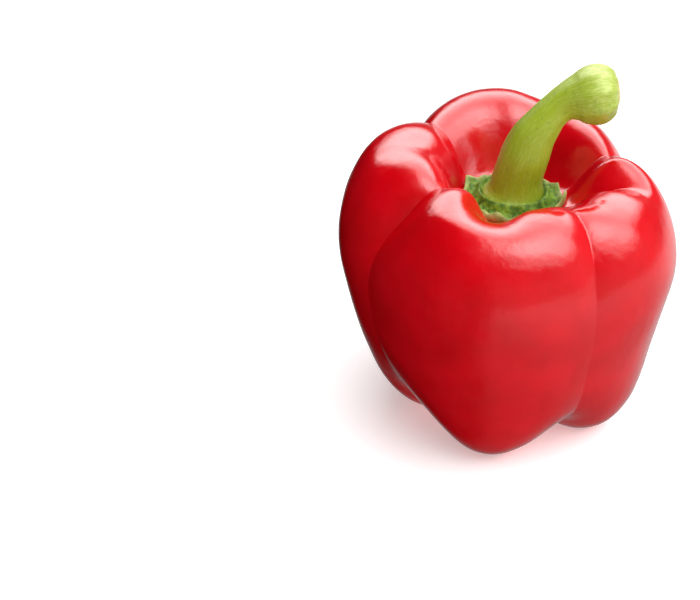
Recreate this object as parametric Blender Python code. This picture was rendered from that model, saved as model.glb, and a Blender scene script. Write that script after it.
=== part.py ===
"""Bell pepper: a lobed fruit, the leafy collar in its stem well and the curved stem."""

from collections import namedtuple
from math import pi

import bpy
import numpy as np

for leftover in list(bpy.data.objects):
    bpy.data.objects.remove(leftover)

MM = 0.001

# ---------------------------------------------------------------- fruit
# One line down the middle of a lobe, from the stem well over the crest to the underside (mm).
# out, up: how far a full crease moves that point.  inner, rim, girth, base: how much of each lobe's
# own offsets reaches it.
Station = namedtuple("Station", "radius height out up inner rim girth base")
MERIDIAN = (
    Station(0.0, 66.0, 0.0, 0.0, 0.0, 0.0, 0.0, 0.0),      # middle of the stem well
    Station(9.0, 66.0, 0.0, 0.0, 0.0, 0.0, 0.0, 0.0),      # floor of the well
    Station(15.0, 67.5, 0.5, -0.3, 0.2, 0.1, 0.0, 0.0),    # foot of the inner wall
    Station(20.5, 75.5, 1.5, -2.5, 1.0, 0.7, 0.0, 0.0),    # inner wall
    Station(28.0, 81.0, -0.5, -4.5, 0.5, 1.0, 0.1, 0.0),   # crest
    Station(37.5, 77.5, -5.0, -5.5, 0.0, 0.9, 0.4, 0.0),   # shoulder
    Station(44.0, 67.0, -7.0, -3.0, 0.0, 0.6, 0.8, 0.0),
    Station(46.0, 54.5, -6.0, -0.5, 0.0, 0.3, 1.0, 0.0),   # widest
    Station(43.7, 41.0, -5.0, 0.0, 0.0, 0.0, 1.0, 0.1),
    Station(40.0, 27.5, -5.0, 1.0, 0.0, 0.0, 0.8, 0.3),
    Station(35.0, 14.0, -6.5, 3.0, 0.0, 0.0, 0.4, 0.7),
    Station(27.5, 3.8, -8.0, 6.0, 0.0, 0.0, 0.1, 1.0),
    Station(17.5, 0.5, -5.0, 7.0, 0.0, 0.0, 0.0, 1.0),     # foot
    Station(8.0, 5.0, -1.0, 3.5, 0.0, 0.0, 0.0, 0.4),      # underside
    Station(0.0, 7.0, 0.0, 0.0, 0.0, 0.0, 0.0, 0.0),       # blossom end
)

# Creases, by angle round the fruit (degrees, 0 = front, growing towards the right) in the well, on
# the rim, on the side and at the base.  deep, wall, foot: strength on the shoulder, side and base.
# Main creases part the four big lobes; the others only dent a shoulder (width in degrees).
Crease = namedtuple("Crease", "well rim side base deep wall foot main width sharp")
CREASES = (
    Crease(-60.0, -57.0, -64.0, -60.0, 1.0, 0.6, 1.0, True, 0.0, 1.0),
    Crease(-16.0, -20.0, -26.0, -27.0, 1.6, 0.0, 0.0, False, 30.0, 0.0),
    Crease(38.0, 33.0, 28.5, 34.0, 0.55, 0.6, 1.0, True, 0.0, 1.0),
    Crease(76.0, 77.0, 78.0, 76.0, 0.95, 0.0, 0.0, False, 16.0, 0.4),
    Crease(105.0, 105.0, 107.0, 107.0, 1.0, 0.5, 1.0, True, 0.0, 1.0),
    Crease(160.0, 160.0, 168.0, 170.0, 0.6, 0.1, 0.0, False, 22.0, 0.3),
    Crease(227.0, 227.0, 230.0, 230.0, 1.0, 0.6, 1.0, True, 0.0, 1.0),
    Crease(266.0, 266.0, 266.0, 266.0, 0.2, 0.0, 0.0, False, 22.0, 0.0),
)

# How each swelling differs from the meridian above (mm).
Lobe = namedtuple("Lobe", "centre rise inner spread girth toe")
LOBES = (
    Lobe(-40.0, 0.2, -2.0, -3.0, 0.0, 0.0),
    Lobe(0.0, -3.9, 0.0, -2.5, 0.0, 1.5),
    Lobe(26.0, -2.6, 0.0, -2.5, 0.0, 2.5),
    Lobe(52.0, -4.7, 0.0, -0.8, -0.3, 3.5),
    Lobe(72.0, -5.0, 0.0, 0.0, -0.9, 3.5),
    Lobe(92.0, -0.7, 0.0, -0.4, -1.8, 1.5),
    Lobe(128.0, 1.0, 0.0, -1.7, -3.0, 0.0),
    Lobe(195.0, 3.3, 0.0, 1.5, 0.0, 0.0),
    Lobe(246.0, 3.1, -3.0, 0.0, 0.0, 0.0),
    Lobe(282.0, 2.0, -2.0, -0.8, 0.3, 0.0),
)
EDGE = 2.6             # how late a lobe turns down into its creases (larger: narrower creases)
LINE_GATHER = 0.75     # how strongly mesh lines gather at the creases
FLAT = 1.2             # height at which the four feet are worn flat

# ---------------------------------------------------------------- collar
COLLAR_CENTRE = (0.5, 0.0)
COLLAR_CORNERS = ((-124.0, 14.8), (-88.0, 14.0), (-22.0, 14.4), (61.0, 15.4), (109.0, 13.4), (178.0, 11.6))
COLLAR_NOTCH = 1.1     # how far the rim draws in between two corners
SEAT_RADIUS = 8.3      # flat seat under the stem
SEAT = 67.3            # height of that seat
GAP = 0.3              # clearance between touching pieces

# ---------------------------------------------------------------- stem
# Centre line in the x-z plane, with the radius there (mm).
Ring = namedtuple("Ring", "x z radius")
STEM = (
    Ring(1.0, 67.6, 7.9),
    Ring(1.3, 70.0, 6.9),
    Ring(1.8, 74.0, 6.45),
    Ring(3.2, 80.2, 6.3),
    Ring(5.2, 85.6, 5.7),
    Ring(7.3, 89.2, 5.1),
    Ring(9.6, 92.4, 4.5),
    Ring(12.1, 94.8, 4.5),
    Ring(14.7, 96.2, 5.5),
    Ring(17.4, 97.0, 7.0),
    Ring(20.2, 97.7, 7.8),
    Ring(22.8, 98.2, 7.5),
    Ring(25.1, 98.5, 6.0),
    Ring(26.4, 98.6, 3.2),
)


def smooth(x):
    x = np.clip(x, 0.0, 1.0)
    return x * x * (3.0 - 2.0 * x)


def spline(t, values, mirror):
    """Cubic B-spline through values at t = 0, 1, 2 ...; mirror = -1 crosses the axis at both ends."""
    count = len(values)
    solve = np.zeros((count, count))
    for i in range(count):
        solve[i, i] = 4.0
        solve[i, i - 1 if i else 1] += 1.0 if i else mirror
        solve[i, i + 1 if i < count - 1 else count - 2] += 1.0 if i < count - 1 else mirror
    control = np.linalg.solve(solve / 6.0, np.asarray(values, float))
    padded = np.concatenate([[mirror * control[1]], control, [mirror * control[-2]]])
    first = np.clip(np.floor(t).astype(int), 0, count - 2)
    f = t - first
    weights = ((1 - f) ** 3, 3 * f**3 - 6 * f**2 + 4, -3 * f**3 + 3 * f**2 + 3 * f + 1, f**3)
    return sum(w * padded[first + k] for k, w in enumerate(weights)) / 6.0


def column(name):
    return [getattr(station, name) for station in MERIDIAN]


def round_the_fruit(angle, name):
    """Smooth blend of one lobe value round the fruit."""
    centres = np.array([lobe.centre + turn for turn in (-360.0, 0.0, 360.0) for lobe in LOBES])
    values = np.array([getattr(lobe, name) for lobe in LOBES] * 3)
    i = np.clip(np.searchsorted(centres, angle) - 1, 0, len(centres) - 2)
    f = smooth((angle - centres[i]) / (centres[i + 1] - centres[i]))
    return values[i] * (1 - f) + values[i + 1] * f


def crease_lines(t):
    """Angle of every crease at each t, the first one repeated a turn later."""
    on_rim = smooth((t - 2.5) / 1.7)
    on_side = smooth((t - 4.2) / 2.8)
    on_base = smooth((t - 8.0) / 3.5)
    lines = [c.well * (1 - on_rim) + c.rim * (on_rim - on_side)
             + c.side * (on_side - on_base) + c.base * on_base for c in CREASES]
    return lines + [lines[0] + 360.0]


def strength(crease, t):
    """Depth of a crease along t."""
    start, length = (5.0, 2.5) if crease.main else (3.6, 1.5)
    on_side = smooth((t - start) / length)
    on_base = smooth((t - 8.5) / 3.0)
    return crease.deep * (1 - on_side) + crease.wall * (on_side - on_base) + crease.foot * on_base


def crease_depth(t, angle, lines):
    """How much of a full crease there is at every mesh point."""
    depth = np.zeros_like(angle)
    soft = (0.75 * smooth((t - 6.0) / 2.0) - 0.35 * smooth((t - 9.5) / 2.0))[:, None]
    mains = [i for i, crease in enumerate(CREASES) if crease.main]
    for i, j in zip(mains, mains[1:] + mains[:1]):
        left = lines[i]
        right = lines[j] if j > i else lines[j] + 360.0
        middle, half = (left + right) / 2, (right - left) / 2
        for turn in (0.0, 360.0):
            x = (angle + turn - middle[:, None]) / half[:, None]
            across = np.clip(np.abs(x), 0.0, 1.0)
            valley = (1 - soft) * across**EDGE + soft * (1 - np.cos(pi * across)) / 2
            side = np.where(x < 0, strength(CREASES[i], t)[:, None], strength(CREASES[j], t)[:, None])
            depth = np.where(np.abs(x) <= 1.000001, valley * side, depth)
    for crease, line in zip(CREASES, lines):
        if crease.main:
            continue
        for turn in (-360.0, 0.0, 360.0):
            s = np.clip(np.abs(angle + turn - line[:, None]) / crease.width, 0.0, 1.0)
            dent = crease.sharp * (1 - s) ** 3 + (1 - crease.sharp) * (1 - s * s) ** 3
            depth = depth + strength(crease, t)[:, None] * dent
    return depth


def fruit_grid(t, per_lobe):
    """Points of the fruit in mm, one row per t, per_lobe columns between neighbouring creases."""
    lines = crease_lines(t)
    f = np.arange(per_lobe) / per_lobe
    eased = (1 - LINE_GATHER) * f + LINE_GATHER * (1 - np.cos(pi * f)) / 2
    angle = np.concatenate(
        [left[:, None] + (right - left)[:, None] * eased for left, right in zip(lines, lines[1:])], axis=1)
    inner, rim, girth, base = (np.clip(spline(t, column(name), 1), 0.0, None)[:, None]
                               for name in ("inner", "rim", "girth", "base"))
    depth = crease_depth(t, angle, lines)
    radius = (spline(t, column("radius"), -1)[:, None] + inner * round_the_fruit(angle, "inner")
              + rim * round_the_fruit(angle, "spread")
              + girth * round_the_fruit(angle, "girth") + base * round_the_fruit(angle, "toe")
              + depth * spline(t, column("out"), -1)[:, None])
    height = (spline(t, column("height"), 1)[:, None] + rim * round_the_fruit(angle, "rise")
              + depth * spline(t, column("up"), 1)[:, None])
    turn = np.radians(angle)
    return np.stack([radius * np.sin(turn), -radius * np.cos(turn), np.maximum(height, FLAT)], axis=-1)


def floor_height(radius):
    """Highest point of the fruit round the well at each radius (mm)."""
    t = np.linspace(0.0, 3.5, 71)
    wall = fruit_grid(t, 6)
    reach = np.hypot(wall[..., 0], wall[..., 1])
    return np.max([np.interp(radius, reach[:, j], wall[:, j, 2]) for j in range(wall.shape[1])], axis=0)


def collar_grid(columns, rings):
    """The collar: seat, swelling round the stem, hollow, raised rim, then the underside back in."""
    angle = np.linspace(-180.0, 180.0, columns, endpoint=False)
    corners = np.array([a for a, _ in COLLAR_CORNERS])
    reach = np.array([r for _, r in COLLAR_CORNERS])
    corners = np.concatenate([corners - 360.0, corners, corners + 360.0])
    reach = np.concatenate([reach] * 3)
    i = np.searchsorted(corners, angle, side="right") - 1
    f = (angle - corners[i]) / (corners[i + 1] - corners[i])
    rim = reach[i] * (1 - f) + reach[i + 1] * f - COLLAR_NOTCH * np.sin(pi * f) ** 0.8
    rib = np.cos(pi * f) ** 6
    turn = np.radians(angle)
    rows = []

    def ring(radius, height):
        x = COLLAR_CENTRE[0] + radius * np.sin(turn)
        y = COLLAR_CENTRE[1] - radius * np.cos(turn)
        rows.append(np.stack([x, y, height + 0.0 * x], axis=-1))

    def under(radius):
        x = COLLAR_CENTRE[0] + radius * np.sin(turn)
        y = COLLAR_CENTRE[1] - radius * np.cos(turn)
        return floor_height(np.hypot(x, y)) + GAP + 0.1

    zero = np.zeros(columns)
    ring(zero, zero + SEAT)
    ring(zero + SEAT_RADIUS * 0.5, zero + SEAT)
    ring(zero + SEAT_RADIUS, zero + SEAT)
    for s in np.linspace(0.0, 1.0, rings):
        radius = (SEAT_RADIUS + 0.5) * (1 - s) + (rim - 0.25) * s
        body = 0.7 * (1 - smooth(s / 0.5)) + (0.22 + 0.15 * rib) * np.sin(pi * s) ** 0.5
        swell = 0.8 * np.exp(-((s - 0.02) / 0.16) ** 2)
        lip = 1.5 * smooth((s - 0.45) / 0.5) + 0.5 * rib * s
        ring(radius, under(radius) + np.maximum(body + swell + lip, 0.6))
    ring(rim, under(rim) + 0.7)
    ring(rim - 0.3, under(rim - 0.3))
    for s in np.linspace(1.0, 0.0, rings // 2 + 1)[1:-1]:
        ring(rim * s, under(rim * s))
    ring(zero, under(zero))
    return np.array(rows)


def through(t, values):
    """Smooth curve through values at t = 0, 1, 2 ..."""
    v = np.asarray(values, float)
    padded = np.concatenate([[2 * v[0] - v[1]], v, [2 * v[-1] - v[-2]]])
    i = np.clip(np.floor(t).astype(int), 0, len(v) - 2)
    f = t - i
    before, here, after, beyond = (padded[i + k] for k in range(4))
    bend = 2 * before - 5 * here + 4 * after - beyond
    return here + 0.5 * f * ((after - before) + f * bend + f * f * (3 * here - before - 3 * after + beyond))


def stem_grid(columns, rings):
    """The stem, swept along its centre line: flat foot, shaft, knob and end face."""
    t = np.linspace(0.0, len(STEM) - 1.0, rings)
    x, z, radius = (through(t, [getattr(ring, name) for ring in STEM]) for name in ("x", "z", "radius"))
    dx, dz = np.gradient(x, t), np.gradient(z, t)
    dx[0], dz[0] = 0.0, 1.0
    length = np.hypot(dx, dz)
    turn = np.linspace(0.0, 2 * pi, columns, endpoint=False)
    across = radius[:, None] * np.cos(turn)
    sideways = radius[:, None] * np.sin(turn)
    shaft = np.stack([x[:, None] + across * (dz / length)[:, None],
                      -sideways,
                      z[:, None] - across * (dx / length)[:, None]], axis=-1)
    foot = np.broadcast_to([x[0], 0.0, z[0]], shaft[:1].shape)
    tip = np.broadcast_to([x[-1], 0.0, z[-1]], shaft[:1].shape)
    return np.concatenate([foot, (foot + shaft[:1]) / 2, shaft, tip])


def close_grid(grid):
    """Vertices and faces of a grid whose first and last rows are single points."""
    rows, columns = grid.shape[:2]
    points = np.vstack([grid[0, :1], grid[1:-1].reshape(-1, 3), grid[-1, :1]])
    last = len(points) - 1

    def at(i, j):
        return 1 + (i - 1) * columns + j % columns

    faces = []
    for j in range(columns):
        faces.append((0, at(1, j), at(1, j + 1)))
        faces.append((last, at(rows - 2, j + 1), at(rows - 2, j)))
        for i in range(1, rows - 2):
            faces.append((at(i, j), at(i + 1, j), at(i + 1, j + 1), at(i, j + 1)))
    return points, faces


def make_piece(name, grid, centre, colour, roughness):
    """One closed, smooth-shaded body with its own material."""
    points, faces = close_grid((grid - centre) * MM)
    mesh = bpy.data.meshes.new(name)
    mesh.from_pydata(points.tolist(), [], faces)
    mesh.shade_smooth()
    material = bpy.data.materials.new(name)
    material.use_nodes = True
    shader = material.node_tree.nodes["Principled BSDF"]
    shader.inputs["Base Color"].default_value = (*colour, 1.0)
    shader.inputs["Roughness"].default_value = roughness
    shader.inputs["Metallic"].default_value = 0.0
    mesh.materials.append(material)
    piece = bpy.data.objects.new(name, mesh)
    bpy.context.scene.collection.objects.link(piece)


def main():
    t = np.concatenate([np.linspace(0.0, 11.0, 27), np.linspace(11.3, 12.8, 7), [13.4, 14.0]])
    fruit = fruit_grid(t, 8)
    corner_points = fruit.reshape(-1, 3)
    centre = (corner_points.min(axis=0) + corner_points.max(axis=0)) / 2
    centre[2] = FLAT
    make_piece("pepper_fruit", fruit, centre, (0.56, 0.004, 0.008), 0.18)
    make_piece("calyx", collar_grid(36, 7), centre, (0.10, 0.22, 0.02), 0.6)
    make_piece("stem", stem_grid(20, 28), centre, (0.33, 0.45, 0.06), 0.5)


main()
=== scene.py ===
"""Looks of the bell pepper: glossy fruit, crumpled collar and ribbed stem, on a pale studio floor."""

from collections import namedtuple
from math import cos, pi, radians, sin

import bpy
import numpy as np
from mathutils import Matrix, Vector, noise


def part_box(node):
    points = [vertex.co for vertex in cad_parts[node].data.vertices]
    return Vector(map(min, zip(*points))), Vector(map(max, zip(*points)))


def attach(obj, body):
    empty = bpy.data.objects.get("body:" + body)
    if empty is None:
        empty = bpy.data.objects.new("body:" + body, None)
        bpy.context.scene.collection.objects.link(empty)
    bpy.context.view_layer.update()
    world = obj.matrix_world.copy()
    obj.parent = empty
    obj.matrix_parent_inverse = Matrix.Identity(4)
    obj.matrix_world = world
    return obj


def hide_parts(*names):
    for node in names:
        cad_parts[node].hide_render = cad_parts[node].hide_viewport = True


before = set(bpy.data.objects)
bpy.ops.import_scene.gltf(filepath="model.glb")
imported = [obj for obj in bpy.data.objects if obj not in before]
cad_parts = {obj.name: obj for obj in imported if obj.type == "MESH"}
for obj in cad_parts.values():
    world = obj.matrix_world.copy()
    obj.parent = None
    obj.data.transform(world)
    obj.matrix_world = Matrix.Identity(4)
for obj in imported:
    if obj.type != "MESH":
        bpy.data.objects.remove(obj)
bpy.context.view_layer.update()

MM = 0.001

# ---------------------------------------------------------------- fruit
# One line down the middle of a lobe, from the stem well over the crest to the underside (mm).
# out, up: how far a full crease moves that point.  inner, rim, girth, base: how much of each lobe's
# own offsets reaches it.
Station = namedtuple("Station", "radius height out up inner rim girth base")
MERIDIAN = (
    Station(0.0, 66.0, 0.0, 0.0, 0.0, 0.0, 0.0, 0.0),      # middle of the stem well
    Station(9.0, 66.0, 0.0, 0.0, 0.0, 0.0, 0.0, 0.0),      # floor of the well
    Station(15.0, 67.5, 0.5, -0.3, 0.2, 0.1, 0.0, 0.0),    # foot of the inner wall
    Station(20.5, 75.5, 1.5, -2.5, 1.0, 0.7, 0.0, 0.0),    # inner wall
    Station(28.0, 81.0, -0.5, -4.5, 0.5, 1.0, 0.1, 0.0),   # crest
    Station(37.5, 77.5, -5.0, -5.5, 0.0, 0.9, 0.4, 0.0),   # shoulder
    Station(44.0, 67.0, -7.0, -3.0, 0.0, 0.6, 0.8, 0.0),
    Station(46.0, 54.5, -6.0, -0.5, 0.0, 0.3, 1.0, 0.0),   # widest
    Station(43.7, 41.0, -5.0, 0.0, 0.0, 0.0, 1.0, 0.1),
    Station(40.0, 27.5, -5.0, 1.0, 0.0, 0.0, 0.8, 0.3),
    Station(35.0, 14.0, -6.5, 3.0, 0.0, 0.0, 0.4, 0.7),
    Station(27.5, 3.8, -8.0, 6.0, 0.0, 0.0, 0.1, 1.0),
    Station(17.5, 0.5, -5.0, 7.0, 0.0, 0.0, 0.0, 1.0),     # foot
    Station(8.0, 5.0, -1.0, 3.5, 0.0, 0.0, 0.0, 0.4),      # underside
    Station(0.0, 7.0, 0.0, 0.0, 0.0, 0.0, 0.0, 0.0),       # blossom end
)

# Creases, by angle round the fruit (degrees, 0 = front, growing towards the right) in the well, on
# the rim, on the side and at the base.  deep, wall, foot: strength on the shoulder, side and base.
# Main creases part the four big lobes; the others only dent a shoulder (width in degrees).
Crease = namedtuple("Crease", "well rim side base deep wall foot main width sharp")
CREASES = (
    Crease(-60.0, -57.0, -64.0, -60.0, 1.0, 0.6, 1.0, True, 0.0, 1.0),
    Crease(-16.0, -20.0, -26.0, -27.0, 1.6, 0.0, 0.0, False, 30.0, 0.0),
    Crease(38.0, 33.0, 28.5, 34.0, 0.55, 0.6, 1.0, True, 0.0, 1.0),
    Crease(76.0, 77.0, 78.0, 76.0, 0.95, 0.0, 0.0, False, 16.0, 0.4),
    Crease(105.0, 105.0, 107.0, 107.0, 1.0, 0.5, 1.0, True, 0.0, 1.0),
    Crease(160.0, 160.0, 168.0, 170.0, 0.6, 0.1, 0.0, False, 22.0, 0.3),
    Crease(227.0, 227.0, 230.0, 230.0, 1.0, 0.6, 1.0, True, 0.0, 1.0),
    Crease(266.0, 266.0, 266.0, 266.0, 0.2, 0.0, 0.0, False, 22.0, 0.0),
)

# How each swelling differs from the meridian above (mm).
Lobe = namedtuple("Lobe", "centre rise inner spread girth toe")
LOBES = (
    Lobe(-40.0, 0.2, -2.0, -3.0, 0.0, 0.0),
    Lobe(0.0, -3.9, 0.0, -2.5, 0.0, 1.5),
    Lobe(26.0, -2.6, 0.0, -2.5, 0.0, 2.5),
    Lobe(52.0, -4.7, 0.0, -0.8, -0.3, 3.5),
    Lobe(72.0, -5.0, 0.0, 0.0, -0.9, 3.5),
    Lobe(92.0, -0.7, 0.0, -0.4, -1.8, 1.5),
    Lobe(128.0, 1.0, 0.0, -1.7, -3.0, 0.0),
    Lobe(195.0, 3.3, 0.0, 1.5, 0.0, 0.0),
    Lobe(246.0, 3.1, -3.0, 0.0, 0.0, 0.0),
    Lobe(282.0, 2.0, -2.0, -0.8, 0.3, 0.0),
)
EDGE = 2.6             # how late a lobe turns down into its creases (larger: narrower creases)
LINE_GATHER = 0.75     # how strongly mesh lines gather at the creases
FLAT = 1.2             # height at which the four feet are worn flat

# ---------------------------------------------------------------- collar
COLLAR_CENTRE = (0.5, 0.0)
COLLAR_CORNERS = ((-124.0, 14.8), (-88.0, 14.0), (-22.0, 14.4), (61.0, 15.4), (109.0, 13.4), (178.0, 11.6))
COLLAR_NOTCH = 1.1     # how far the rim draws in between two corners
SEAT_RADIUS = 8.3      # flat seat under the stem
SEAT = 67.3            # height of that seat
GAP = 0.3              # clearance between touching pieces

# ---------------------------------------------------------------- stem
# Centre line in the x-z plane, with the radius there (mm).
Ring = namedtuple("Ring", "x z radius")
STEM = (
    Ring(1.0, 67.6, 7.9),
    Ring(1.3, 70.0, 6.9),
    Ring(1.8, 74.0, 6.45),
    Ring(3.2, 80.2, 6.3),
    Ring(5.2, 85.6, 5.7),
    Ring(7.3, 89.2, 5.1),
    Ring(9.6, 92.4, 4.5),
    Ring(12.1, 94.8, 4.5),
    Ring(14.7, 96.2, 5.5),
    Ring(17.4, 97.0, 7.0),
    Ring(20.2, 97.7, 7.8),
    Ring(22.8, 98.2, 7.5),
    Ring(25.1, 98.5, 6.0),
    Ring(26.4, 98.6, 3.2),
)


def smooth(x):
    x = np.clip(x, 0.0, 1.0)
    return x * x * (3.0 - 2.0 * x)


def spline(t, values, mirror):
    """Cubic B-spline through values at t = 0, 1, 2 ...; mirror = -1 crosses the axis at both ends."""
    count = len(values)
    solve = np.zeros((count, count))
    for i in range(count):
        solve[i, i] = 4.0
        solve[i, i - 1 if i else 1] += 1.0 if i else mirror
        solve[i, i + 1 if i < count - 1 else count - 2] += 1.0 if i < count - 1 else mirror
    control = np.linalg.solve(solve / 6.0, np.asarray(values, float))
    padded = np.concatenate([[mirror * control[1]], control, [mirror * control[-2]]])
    first = np.clip(np.floor(t).astype(int), 0, count - 2)
    f = t - first
    weights = ((1 - f) ** 3, 3 * f**3 - 6 * f**2 + 4, -3 * f**3 + 3 * f**2 + 3 * f + 1, f**3)
    return sum(w * padded[first + k] for k, w in enumerate(weights)) / 6.0


def column(name):
    return [getattr(station, name) for station in MERIDIAN]


def round_the_fruit(angle, name):
    """Smooth blend of one lobe value round the fruit."""
    centres = np.array([lobe.centre + turn for turn in (-360.0, 0.0, 360.0) for lobe in LOBES])
    values = np.array([getattr(lobe, name) for lobe in LOBES] * 3)
    i = np.clip(np.searchsorted(centres, angle) - 1, 0, len(centres) - 2)
    f = smooth((angle - centres[i]) / (centres[i + 1] - centres[i]))
    return values[i] * (1 - f) + values[i + 1] * f


def crease_lines(t):
    """Angle of every crease at each t, the first one repeated a turn later."""
    on_rim = smooth((t - 2.5) / 1.7)
    on_side = smooth((t - 4.2) / 2.8)
    on_base = smooth((t - 8.0) / 3.5)
    lines = [c.well * (1 - on_rim) + c.rim * (on_rim - on_side)
             + c.side * (on_side - on_base) + c.base * on_base for c in CREASES]
    return lines + [lines[0] + 360.0]


def strength(crease, t):
    """Depth of a crease along t."""
    start, length = (5.0, 2.5) if crease.main else (3.6, 1.5)
    on_side = smooth((t - start) / length)
    on_base = smooth((t - 8.5) / 3.0)
    return crease.deep * (1 - on_side) + crease.wall * (on_side - on_base) + crease.foot * on_base


def crease_depth(t, angle, lines):
    """How much of a full crease there is at every mesh point."""
    depth = np.zeros_like(angle)
    soft = (0.75 * smooth((t - 6.0) / 2.0) - 0.35 * smooth((t - 9.5) / 2.0))[:, None]
    mains = [i for i, crease in enumerate(CREASES) if crease.main]
    for i, j in zip(mains, mains[1:] + mains[:1]):
        left = lines[i]
        right = lines[j] if j > i else lines[j] + 360.0
        middle, half = (left + right) / 2, (right - left) / 2
        for turn in (0.0, 360.0):
            x = (angle + turn - middle[:, None]) / half[:, None]
            across = np.clip(np.abs(x), 0.0, 1.0)
            valley = (1 - soft) * across**EDGE + soft * (1 - np.cos(pi * across)) / 2
            side = np.where(x < 0, strength(CREASES[i], t)[:, None], strength(CREASES[j], t)[:, None])
            depth = np.where(np.abs(x) <= 1.000001, valley * side, depth)
    for crease, line in zip(CREASES, lines):
        if crease.main:
            continue
        for turn in (-360.0, 0.0, 360.0):
            s = np.clip(np.abs(angle + turn - line[:, None]) / crease.width, 0.0, 1.0)
            dent = crease.sharp * (1 - s) ** 3 + (1 - crease.sharp) * (1 - s * s) ** 3
            depth = depth + strength(crease, t)[:, None] * dent
    return depth


def fruit_grid(t, per_lobe):
    """Points of the fruit in mm, one row per t, per_lobe columns between neighbouring creases."""
    lines = crease_lines(t)
    f = np.arange(per_lobe) / per_lobe
    eased = (1 - LINE_GATHER) * f + LINE_GATHER * (1 - np.cos(pi * f)) / 2
    angle = np.concatenate(
        [left[:, None] + (right - left)[:, None] * eased for left, right in zip(lines, lines[1:])], axis=1)
    inner, rim, girth, base = (np.clip(spline(t, column(name), 1), 0.0, None)[:, None]
                               for name in ("inner", "rim", "girth", "base"))
    depth = crease_depth(t, angle, lines)
    radius = (spline(t, column("radius"), -1)[:, None] + inner * round_the_fruit(angle, "inner")
              + rim * round_the_fruit(angle, "spread")
              + girth * round_the_fruit(angle, "girth") + base * round_the_fruit(angle, "toe")
              + depth * spline(t, column("out"), -1)[:, None])
    height = (spline(t, column("height"), 1)[:, None] + rim * round_the_fruit(angle, "rise")
              + depth * spline(t, column("up"), 1)[:, None])
    turn = np.radians(angle)
    return np.stack([radius * np.sin(turn), -radius * np.cos(turn), np.maximum(height, FLAT)], axis=-1)


def floor_height(radius):
    """Highest point of the fruit round the well at each radius (mm)."""
    t = np.linspace(0.0, 3.5, 71)
    wall = fruit_grid(t, 6)
    reach = np.hypot(wall[..., 0], wall[..., 1])
    return np.max([np.interp(radius, reach[:, j], wall[:, j, 2]) for j in range(wall.shape[1])], axis=0)


def collar_grid(columns, rings):
    """The collar: seat, swelling round the stem, hollow, raised rim, then the underside back in."""
    angle = np.linspace(-180.0, 180.0, columns, endpoint=False)
    corners = np.array([a for a, _ in COLLAR_CORNERS])
    reach = np.array([r for _, r in COLLAR_CORNERS])
    corners = np.concatenate([corners - 360.0, corners, corners + 360.0])
    reach = np.concatenate([reach] * 3)
    i = np.searchsorted(corners, angle, side="right") - 1
    f = (angle - corners[i]) / (corners[i + 1] - corners[i])
    rim = reach[i] * (1 - f) + reach[i + 1] * f - COLLAR_NOTCH * np.sin(pi * f) ** 0.8
    rib = np.cos(pi * f) ** 6
    turn = np.radians(angle)
    rows = []

    def ring(radius, height):
        x = COLLAR_CENTRE[0] + radius * np.sin(turn)
        y = COLLAR_CENTRE[1] - radius * np.cos(turn)
        rows.append(np.stack([x, y, height + 0.0 * x], axis=-1))

    def under(radius):
        x = COLLAR_CENTRE[0] + radius * np.sin(turn)
        y = COLLAR_CENTRE[1] - radius * np.cos(turn)
        return floor_height(np.hypot(x, y)) + GAP + 0.1

    zero = np.zeros(columns)
    ring(zero, zero + SEAT)
    ring(zero + SEAT_RADIUS * 0.5, zero + SEAT)
    ring(zero + SEAT_RADIUS, zero + SEAT)
    for s in np.linspace(0.0, 1.0, rings):
        radius = (SEAT_RADIUS + 0.5) * (1 - s) + (rim - 0.25) * s
        body = 0.7 * (1 - smooth(s / 0.5)) + (0.22 + 0.15 * rib) * np.sin(pi * s) ** 0.5
        swell = 0.8 * np.exp(-((s - 0.02) / 0.16) ** 2)
        lip = 1.5 * smooth((s - 0.45) / 0.5) + 0.5 * rib * s
        ring(radius, under(radius) + np.maximum(body + swell + lip, 0.6))
    ring(rim, under(rim) + 0.7)
    ring(rim - 0.3, under(rim - 0.3))
    for s in np.linspace(1.0, 0.0, rings // 2 + 1)[1:-1]:
        ring(rim * s, under(rim * s))
    ring(zero, under(zero))
    return np.array(rows)


def through(t, values):
    """Smooth curve through values at t = 0, 1, 2 ..."""
    v = np.asarray(values, float)
    padded = np.concatenate([[2 * v[0] - v[1]], v, [2 * v[-1] - v[-2]]])
    i = np.clip(np.floor(t).astype(int), 0, len(v) - 2)
    f = t - i
    before, here, after, beyond = (padded[i + k] for k in range(4))
    bend = 2 * before - 5 * here + 4 * after - beyond
    return here + 0.5 * f * ((after - before) + f * bend + f * f * (3 * here - before - 3 * after + beyond))


def stem_grid(columns, rings):
    """The stem, swept along its centre line: flat foot, shaft, knob and end face."""
    t = np.linspace(0.0, len(STEM) - 1.0, rings)
    x, z, radius = (through(t, [getattr(ring, name) for ring in STEM]) for name in ("x", "z", "radius"))
    dx, dz = np.gradient(x, t), np.gradient(z, t)
    dx[0], dz[0] = 0.0, 1.0
    length = np.hypot(dx, dz)
    turn = np.linspace(0.0, 2 * pi, columns, endpoint=False)
    across = radius[:, None] * np.cos(turn)
    sideways = radius[:, None] * np.sin(turn)
    shaft = np.stack([x[:, None] + across * (dz / length)[:, None],
                      -sideways,
                      z[:, None] - across * (dx / length)[:, None]], axis=-1)
    foot = np.broadcast_to([x[0], 0.0, z[0]], shaft[:1].shape)
    tip = np.broadcast_to([x[-1], 0.0, z[-1]], shaft[:1].shape)
    return np.concatenate([foot, (foot + shaft[:1]) / 2, shaft, tip])


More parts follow.
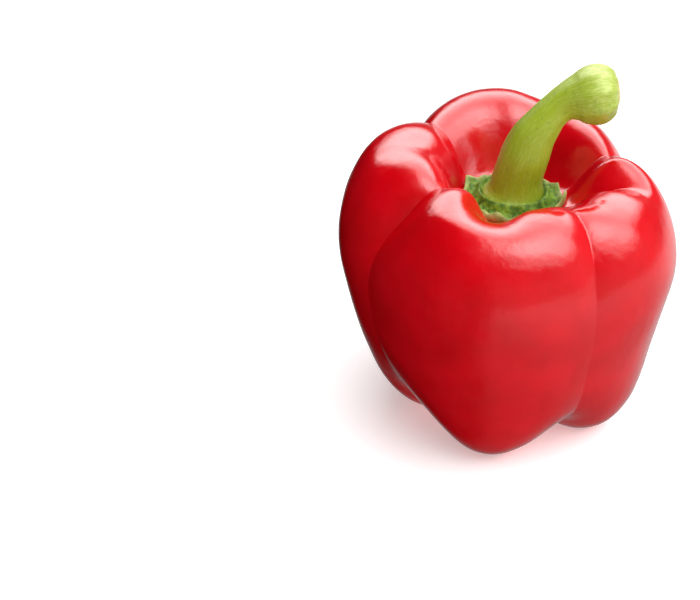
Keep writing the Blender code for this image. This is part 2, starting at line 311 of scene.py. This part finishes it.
def close_grid(grid):
    """Vertices and faces of a grid whose first and last rows are single points."""
    rows, columns = grid.shape[:2]
    points = np.vstack([grid[0, :1], grid[1:-1].reshape(-1, 3), grid[-1, :1]])
    last = len(points) - 1

    def at(i, j):
        return 1 + (i - 1) * columns + j % columns

    faces = []
    for j in range(columns):
        faces.append((0, at(1, j), at(1, j + 1)))
        faces.append((last, at(rows - 2, j + 1), at(rows - 2, j)))
        for i in range(1, rows - 2):
            faces.append((at(i, j), at(i + 1, j), at(i + 1, j + 1), at(i, j + 1)))
    return points, faces


# ---------------------------------------------------------------- finer shapes
FRUIT_ROWS = 270
FRUIT_COLUMNS = 36     # between two neighbouring creases
COLLAR_COLUMNS = 168
COLLAR_RINGS = 30      # from the seat to the rim
SEAT_ROWS = 3
STEM_COLUMNS = 96
STEM_ROWS = 240
STEM_RIBS = 9
CALM_ROWS = 6.0        # rows next to a pole over which a push fades out

# Heights of the fine relief (mm).
SKIN_SWELL = 0.3
SKIN_LUMP = 0.12
COLLAR_FOLD = 1.1
COLLAR_VEIN = 0.6
COLLAR_HUG = 2.1       # how far the collar climbs the stem's foot
RIB_ON_SHAFT = 0.06
RIB_ON_KNOB = 0.12     # on top of the shaft's
STEM_SWELL = 0.25
STEM_FLARE = 2.0       # how much wider the foot is
STEM_SINK = 2.4        # how far the foot's edge goes down into the collar


def wander(points, size, seed):
    """Smooth noise in -1..1 at every point; size is the width of a swelling in mm."""
    flat = points.reshape(-1, 3) / size + seed
    values = [noise.noise(Vector(p)) for p in flat.tolist()]
    return np.array(values).reshape(points.shape[:-1])


def surface_normals(grid):
    """Outward unit normals of a grid that closes on itself round the axis."""
    along = np.gradient(grid, axis=0)
    around = (np.roll(grid, -1, axis=1) - np.roll(grid, 1, axis=1)) / 2
    normal = np.cross(along, around)
    length = np.linalg.norm(normal, axis=-1, keepdims=True)
    return normal / np.maximum(length, 1e-9)


def push(grid, amount):
    """Moves every point along its normal, less near the two poles."""
    rows = np.arange(len(grid))
    calm = smooth(rows / CALM_ROWS) * smooth((len(grid) - 1 - rows) / CALM_ROWS)
    return grid + surface_normals(grid) * (amount * calm[:, None])[..., None]


def fine_fruit():
    """The fruit with faint lumps; it blushes orange low on the front of the well's wall."""
    t = np.linspace(0.0, len(MERIDIAN) - 1.0, FRUIT_ROWS)
    grid = fruit_grid(t, FRUIT_COLUMNS)
    off_floor = smooth((grid[..., 2] - FLAT) / 2.0)
    lumps = SKIN_SWELL * wander(grid, 26.0, 3.0) + SKIN_LUMP * wander(grid, 9.0, 11.0)
    clear_of_collar = smooth((np.hypot(grid[..., 0], grid[..., 1]) - 16.0) / 8.0)
    grid = push(grid, lumps * off_floor * clear_of_collar)
    blush = smooth((t - 1.5) / 0.5) * smooth((2.9 - t) / 0.9)
    in_front = smooth((-grid[..., 1] - 2.0) / 8.0)
    return grid, {"blush": blush[:, None] * in_front}


def fine_collar():
    """The collar with a crumpled top that rises against the stem."""
    grid = collar_grid(COLLAR_COLUMNS, COLLAR_RINGS)
    top = (np.arange(len(grid)) < SEAT_ROWS + COLLAR_RINGS)[:, None]
    folds = COLLAR_FOLD * wander(grid, 3.0, 5.0)
    veins = COLLAR_VEIN * (0.3 - abs(wander(grid, 1.6, 9.0)))
    crumple = folds + veins + 0.3
    radius = np.hypot(grid[..., 0] - COLLAR_CENTRE[0], grid[..., 1] - COLLAR_CENTRE[1])
    free = smooth((radius - SEAT_RADIUS - 0.3) / 1.5)
    hug = COLLAR_HUG * np.exp(-(((radius - SEAT_RADIUS - 0.6) / 1.5) ** 2))
    grid[..., 2] += np.where(top, crumple * free + hug, 0.0)
    reach = radius.max(axis=0)
    edge = smooth((radius / reach - 0.86) / 0.12)
    # The crumple's height goes out as well, to paint shade into the hollows.
    return grid, {"edge": edge, "crumple_shade": 0.5 + crumple}


def fine_stem():
    """The stem with ribs that grow towards its knob, and a foot that flares into the collar."""
    grid = stem_grid(STEM_COLUMNS, STEM_ROWS)
    rows = np.linspace(0.0, 1.0, len(grid))[:, None]
    turn = np.linspace(0.0, 2 * pi, STEM_COLUMNS, endpoint=False)[None, :]
    rib_height = RIB_ON_SHAFT + RIB_ON_KNOB * smooth((rows - 0.62) / 0.25)
    ribs = np.cos(STEM_RIBS * turn + 1.5 * np.sin(3 * rows)) * rib_height
    ribs = ribs * smooth((1.0 - rows) / 0.06)
    flare = STEM_FLARE * np.exp(-rows / 0.07) + 0.0 * turn
    grid = push(grid, ribs + flare + STEM_SWELL * wander(grid, 7.0, 2.0))
    grid[..., 2] -= STEM_SINK * np.exp(-rows / 0.014)
    fields = {
        "tip": 0.8 * smooth((rows - 0.95) / 0.03) + 0.0 * turn,
        "along": rows + 0.0 * turn,
        "across": np.cos(turn) + 0.0 * rows,
        "depth": np.sin(turn) + 0.0 * rows,
    }
    return grid, fields


def make_piece(name, node, grid, fields, shift, material):
    """One closed, smooth-shaded mesh with its fields as point attributes, standing for a CAD node."""
    points, faces = close_grid((grid + shift) * MM)
    mesh = bpy.data.meshes.new(name)
    mesh.from_pydata(points.tolist(), [], faces)
    mesh.shade_smooth()
    for field, values in fields.items():
        flat = np.concatenate([values[0, :1], values[1:-1].ravel(), values[-1, :1]]).astype(np.float32)
        attribute = mesh.attributes.new(field, "FLOAT", "POINT")
        attribute.data.foreach_set("value", flat)
    mesh.materials.append(material)
    piece = bpy.data.objects.new(name, mesh)
    bpy.context.scene.collection.objects.link(piece)
    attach(piece, "root")
    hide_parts(node)


# ---------------------------------------------------------------- materials
# Linear colours.
SKIN_DEEP = (0.50, 0.0008, 0.004, 1.0)
SKIN_RED = (0.58, 0.001, 0.006, 1.0)
SKIN_BLUSH = (0.80, 0.045, 0.002, 1.0)
LEAF_DARK = (0.05, 0.12, 0.003, 1.0)
LEAF_LIGHT = (0.15, 0.25, 0.010, 1.0)
# painted shade: the deeper green laid into the collar's hollows
LEAF_HOLLOW_SHADE = (0.035, 0.08, 0.002, 1.0)
LEAF_EDGE = (0.36, 0.40, 0.13, 1.0)
SHAFT_LOW = (0.21, 0.29, 0.003, 1.0)
SHAFT_HIGH = (0.31, 0.42, 0.016, 1.0)
KNOB_DARK = (0.27, 0.36, 0.02, 1.0)
KNOB_LIGHT = (0.38, 0.44, 0.08, 1.0)
# painted shade: the darker, browner underside of the knob
KNOB_UNDERSIDE_SHADE = (0.26, 0.24, 0.006, 1.0)
STEM_FIBRE = (0.60, 0.70, 0.20, 1.0)
STEM_FLECK = (0.12, 0.20, 0.003, 1.0)
STEM_CUT = (0.52, 0.38, 0.09, 1.0)
FLOOR_DARK = (0.93, 0.93, 0.93, 1.0)
FLOOR_LIGHT = (0.96, 0.96, 0.96, 1.0)
FLOOR_GLOW = (1.0, 0.97, 0.96, 1.0)
WHITE = (1.0, 1.0, 1.0, 1.0)


class Graph:
    """The nodes of a material, a light or the world, with short calls for the few kinds used here."""

    def __init__(self, owner, shader):
        owner.use_nodes = True
        self.owner = owner
        self.tree = owner.node_tree
        self.shader = self.tree.nodes[shader]
        self.place = self.add("ShaderNodeTexCoord").outputs["Object"]

    def add(self, kind, **values):
        node = self.tree.nodes.new(kind)
        for name, value in values.items():
            setattr(node, name, value)
        return node

    def put(self, socket, value):
        if isinstance(value, bpy.types.NodeSocket):
            self.tree.links.new(value, socket)
        else:
            socket.default_value = value

    def field(self, name):
        return self.add("ShaderNodeAttribute", attribute_name=name).outputs["Fac"]

    def noise(self, scale, detail=3.0, roughness=0.5, place=None):
        node = self.add("ShaderNodeTexNoise")
        self.put(node.inputs["Vector"], place or self.place)
        self.put(node.inputs["Scale"], scale)
        self.put(node.inputs["Detail"], detail)
        self.put(node.inputs["Roughness"], roughness)
        return node.outputs["Fac"]

    def math(self, kind, a, b):
        node = self.add("ShaderNodeMath", operation=kind)
        self.put(node.inputs[0], a)
        self.put(node.inputs[1], b)
        return node.outputs[0]

    def ramp(self, value, low, high, to_low=0.0, to_high=1.0):
        node = self.add("ShaderNodeMapRange")
        self.put(node.inputs["Value"], value)
        self.put(node.inputs["From Min"], low)
        self.put(node.inputs["From Max"], high)
        self.put(node.inputs["To Min"], to_low)
        self.put(node.inputs["To Max"], to_high)
        return node.outputs["Result"]

    def soft(self, value, low, high, to_low=0.0, to_high=1.0):
        """A ramp that eases in and out."""
        result = self.ramp(value, low, high, to_low, to_high)
        result.node.interpolation_type = "SMOOTHSTEP"
        return result

    def times(self, *values):
        result = values[0]
        for value in values[1:]:
            result = self.math("MULTIPLY", result, value)
        return result

    def blend(self, factor, a, b):
        node = self.add("ShaderNodeMix", data_type="RGBA")
        self.put(node.inputs["Factor"], factor)
        self.put(node.inputs["A"], a)
        self.put(node.inputs["B"], b)
        return node.outputs["Result"]

    def mixed(self, factor, a, b):
        node = self.add("ShaderNodeMix", data_type="FLOAT")
        self.put(node.inputs["Factor"], factor)
        self.put(node.inputs["A"], a)
        self.put(node.inputs["B"], b)
        return node.outputs["Result"]

    def stretch(self, scale):
        node = self.add("ShaderNodeMapping")
        self.put(node.inputs["Vector"], self.place)
        self.put(node.inputs["Scale"], scale)
        return node.outputs["Vector"]

    def combine(self, x, y, z):
        node = self.add("ShaderNodeCombineXYZ")
        for socket, value in zip(node.inputs, (x, y, z)):
            self.put(socket, value)
        return node.outputs[0]

    def bump(self, height, strength, distance):
        node = self.add("ShaderNodeBump")
        self.put(node.inputs["Height"], height)
        self.put(node.inputs["Strength"], strength)
        self.put(node.inputs["Distance"], distance)
        self.put(self.shader.inputs["Normal"], node.outputs["Normal"])

    def set(self, **values):
        for name, value in values.items():
            self.put(self.shader.inputs[name.replace("_", " ")], value)


def skin_material():
    g = Graph(bpy.data.materials.new("pepper_skin"), "Principled BSDF")
    mottle = g.noise(90.0, 4.0)
    red = g.blend(g.ramp(mottle, 0.35, 0.65), SKIN_DEEP, SKIN_RED)
    red = g.blend(g.times(g.field("blush"), 0.45), red, SKIN_BLUSH)
    gloss = g.ramp(g.noise(260.0), 0.3, 0.7, 0.13, 0.19)
    g.set(Base_Color=red, Roughness=gloss, IOR=1.5)
    g.set(Subsurface_Weight=0.12, Subsurface_Radius=(1.0, 0.08, 0.05), Subsurface_Scale=0.004)
    streaks = g.noise(350.0, place=g.stretch((1.0, 1.0, 0.2)))
    g.bump(g.math("ADD", g.noise(420.0, 4.0), g.times(streaks, 0.8)), 0.22, 0.0004)
    return g.owner


def collar_material():
    g = Graph(bpy.data.materials.new("calyx_green"), "Principled BSDF")
    mottle = g.noise(700.0, 4.0)
    leaf = g.blend(g.ramp(mottle, 0.4, 0.62), LEAF_DARK, LEAF_LIGHT)
    # Painted shade: the low parts of the crumple are darkened to a deeper green.
    leaf = g.blend(g.ramp(g.field("crumple_shade"), 0.25, 0.75), LEAF_HOLLOW_SHADE, leaf)
    edge = g.times(g.field("edge"), g.ramp(g.noise(300.0), 0.3, 0.6, 0.3, 1.0))
    leaf = g.blend(edge, leaf, LEAF_EDGE)
    g.set(Base_Color=leaf, Roughness=g.ramp(mottle, 0.3, 0.7, 0.5, 0.7), Specular_IOR_Level=0.2)
    g.bump(mottle, 0.5, 0.0006)
    return g.owner


def stem_material():
    g = Graph(bpy.data.materials.new("stem_green"), "Principled BSDF")
    along = g.field("along")
    across = g.field("across")
    lengthwise = g.combine(g.times(across, 3.0), g.times(g.field("depth"), 3.0), g.times(along, 2.5))
    fibre = g.noise(7.0, 5.0, 0.6, lengthwise)
    fleck = g.noise(1000.0, 2.0)
    shaft = g.blend(g.ramp(along, 0.05, 0.5), SHAFT_LOW, SHAFT_HIGH)
    knob = g.blend(g.ramp(fibre, 0.4, 0.62), KNOB_DARK, KNOB_LIGHT)
    body = g.blend(g.ramp(along, 0.5, 0.85), shaft, knob)
    body = g.blend(g.ramp(fibre, 0.5, 0.75, 0.0, 0.35), body, STEM_FIBRE)
    body = g.blend(g.ramp(fleck, 0.55, 0.75, 0.0, 0.4), body, STEM_FLECK)
    # Painted shade: the knob's underside is coloured darker and browner.
    shaded_underside = g.times(g.ramp(across, 0.1, 0.9), g.ramp(along, 0.6, 0.75, 0.0, 0.7))
    body = g.blend(shaded_underside, body, KNOB_UNDERSIDE_SHADE)
    body = g.blend(g.field("tip"), body, STEM_CUT)
    g.set(Base_Color=body, Roughness=g.ramp(fleck, 0.3, 0.7, 0.3, 0.44))
    g.bump(fibre, 0.3, 0.0004)
    return g.owner


def floor_material():
    g = Graph(bpy.data.materials.new("studio_floor"), "Principled BSDF")
    speckle = g.noise(40.0)
    pale = g.blend(speckle, FLOOR_DARK, FLOOR_LIGHT)
    g.set(Base_Color=pale, Roughness=g.ramp(speckle, 0.3, 0.7, 0.9, 1.0), Specular_IOR_Level=0.0)
    g.set(Emission_Color=FLOOR_GLOW, Emission_Strength=0.34)
    g.bump(g.noise(900.0), 0.05, 0.0002)
    return g.owner


# ---------------------------------------------------------------- studio
# Metres, unless said otherwise.
AIM = Vector((0.001, -0.0006, 0.0438))
LENS = 100.0           # mm
SENSOR = 36.0          # mm wide
DISTANCE = 0.528
PITCH = radians(31.9)  # how far the camera looks down
ASIDE = 0.0426         # the aim point is this far right of the picture's middle
BELOW = 0.00815        # and this far above it
FLOOR_REACH = 0.7
FLOOR_DROP = 0.00005   # keeps the floor clear of the feet

# The light panels. Their heights are above the aim point; widths and positions are for a height of one.
WINDOW_HEIGHT = 0.85
WINDOW_MIDDLE = (0.35, 0.70)
WINDOW_SIZE = (4.0, 4.2)
FRONT_WINDOW = 9.0     # radiance
BACK_WINDOW = (4.5, 8.5)  # at its near and its far edge
FAINT_WINDOW = 2.4
FILL_HEIGHT = 1.0
FILL_MIDDLE = (0.70, -0.2)
FILL_SIZE = (2.1, 1.8)
FILL_RADIANCE = 2.95


def add_camera():
    forward = Vector((0.0, cos(PITCH), -sin(PITCH)))
    up = Vector((0.0, sin(PITCH), cos(PITCH)))
    data = bpy.data.cameras.new("camera")
    data.lens = LENS
    data.sensor_width = SENSOR
    camera = bpy.data.objects.new("camera", data)
    camera.location = AIM - forward * DISTANCE - Vector((ASIDE, 0.0, 0.0)) - up * BELOW
    camera.rotation_euler = (pi / 2 - PITCH, 0.0, 0.0)
    bpy.context.scene.collection.objects.link(camera)
    bpy.context.scene.camera = camera


def add_panel(name, height, middle, size, radiance):
    """A level panel facing down; middle and size are given for a height of one."""
    data = bpy.data.lights.new(name, "AREA")
    data.shape = "RECTANGLE"
    data.size = size[0] * height
    data.size_y = size[1] * height
    data.energy = radiance * pi * data.size * data.size_y
    light = bpy.data.objects.new(name, data)
    light.location = (middle[0] * height, middle[1] * height, AIM.z + height)
    light.visible_camera = False
    bpy.context.scene.collection.objects.link(light)
    return light


def add_fill():
    """Soft light from the right that the skin doesn't mirror."""
    light = add_panel("fill", FILL_HEIGHT, FILL_MIDDLE, FILL_SIZE, FILL_RADIANCE)
    light.visible_glossy = False


def add_windows():
    """Three soft-edged windows that the skin mirrors, drawn on one panel: u is to the right, v back."""
    light = add_panel("windows", WINDOW_HEIGHT, WINDOW_MIDDLE, WINDOW_SIZE, 1.0)
    light.visible_diffuse = False
    g = Graph(light.data, "Emission")
    place = g.add("ShaderNodeSeparateXYZ")
    g.put(place.inputs[0], g.add("ShaderNodeNewGeometry").outputs["Position"])
    u = g.math("DIVIDE", place.outputs["X"], WINDOW_HEIGHT)
    v = g.math("DIVIDE", place.outputs["Y"], WINDOW_HEIGHT)
    behind = g.soft(v, -0.2, 0.15)
    before = g.math("SUBTRACT", 1.0, behind)

    left_dip = g.times(g.soft(v, -0.35, -0.1, 0.0, 0.25), g.soft(u, 0.3, 0.7, 1.0, 0.0))
    across = g.times(g.soft(u, -0.1, 0.3), g.soft(u, 0.3, 1.0, 1.0, 0.7), g.soft(u, 1.2, 2.0, 1.0, 0.3))
    along = g.times(g.soft(v, -0.95, -0.6, 0.0, FRONT_WINDOW), g.math("SUBTRACT", 1.0, left_dip))
    front = g.times(across, along, before)

    slant = g.math("ADD", u, g.times(g.math("MAXIMUM", v, 0.0), 0.9))
    across = g.times(g.soft(slant, -0.4, 0.2), g.soft(u, 0.75, 1.7, 1.0, 0.0))
    along = g.times(g.soft(v, 0.0, 0.8, *BACK_WINDOW), g.soft(v, 0.9, 2.4, 1.0, 0.15))
    back = g.times(across, along, behind)

    across = g.times(g.soft(u, 0.05, 0.4), g.soft(u, 1.2, 2.1, 1.0, 0.0))
    along = g.times(g.soft(v, -1.3, -1.05, 0.0, FAINT_WINDOW), g.soft(v, -0.95, -0.75, 1.0, 0.0))
    faint = g.times(across, along)

    g.set(Strength=g.math("ADD", g.math("ADD", front, back), faint))


def add_floor():
    mesh = bpy.data.meshes.new("floor")
    corners = [(x * FLOOR_REACH, y * FLOOR_REACH, 0.0) for x, y in ((-1, -1), (1, -1), (1, 1), (-1, 1))]
    mesh.from_pydata(corners, [], [(0, 1, 2, 3)])
    mesh.materials.append(floor_material())
    floor = bpy.data.objects.new("floor", mesh)
    floor.location.z = -FLOOR_DROP
    floor.visible_glossy = False
    floor.visible_diffuse = False
    bpy.context.scene.collection.objects.link(floor)


def add_surroundings():
    """A pale room: brighter to the right, darker to the left and overhead, plain white to the camera."""
    bpy.context.scene.world = bpy.data.worlds.new("studio")
    g = Graph(bpy.context.scene.world, "Background")
    towards = g.add("ShaderNodeSeparateXYZ")
    g.put(towards.inputs[0], g.add("ShaderNodeTexCoord").outputs["Generated"])
    x, y, z = towards.outputs
    low = g.times(g.ramp(y, 0.0, 0.8, 1.0, 1.35), g.ramp(z, -0.95, -0.3, 0.15, 1.0))
    high = g.times(g.ramp(y, -0.1, 0.5, 0.45, 0.15), g.ramp(z, 0.3, 0.6, 1.0, 0.2))
    right = g.math("ADD", g.soft(x, -0.3, 0.0, 0.0, 0.7), g.ramp(x, 0.0, 0.6, 0.0, 0.3))
    gloss = g.times(right, g.mixed(g.soft(z, -0.2, 0.05), low, high))
    front = g.math("SUBTRACT", x, g.times(y, 0.7))
    fill = g.times(g.ramp(front, -0.8, 1.2, 0.32, 1.72), g.ramp(z, -0.1, 0.5, 1.1, 0.3))
    ray = g.add("ShaderNodeLightPath")
    strength = g.mixed(ray.outputs["Is Glossy Ray"], fill, gloss)
    g.set(Color=WHITE, Strength=g.mixed(ray.outputs["Is Camera Ray"], strength, 1.0))


def main():
    fruit, fruit_fields = fine_fruit()
    points = fruit.reshape(-1, 3)
    low, high = (np.array(corner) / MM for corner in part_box("pepper_fruit"))
    shift = (low + high - points.min(axis=0) - points.max(axis=0)) / 2
    shift[2] = low[2] - points[:, 2].min()
    collar, collar_fields = fine_collar()
    stem, stem_fields = fine_stem()
    make_piece("fruit_skin", "pepper_fruit", fruit, fruit_fields, shift, skin_material())
    make_piece("calyx_leaf", "calyx", collar, collar_fields, shift, collar_material())
    make_piece("stem_body", "stem", stem, stem_fields, shift, stem_material())
    add_floor()
    add_surroundings()
    add_fill()
    add_windows()
    add_camera()
    bpy.context.scene.view_settings.view_transform = "Standard"


main()
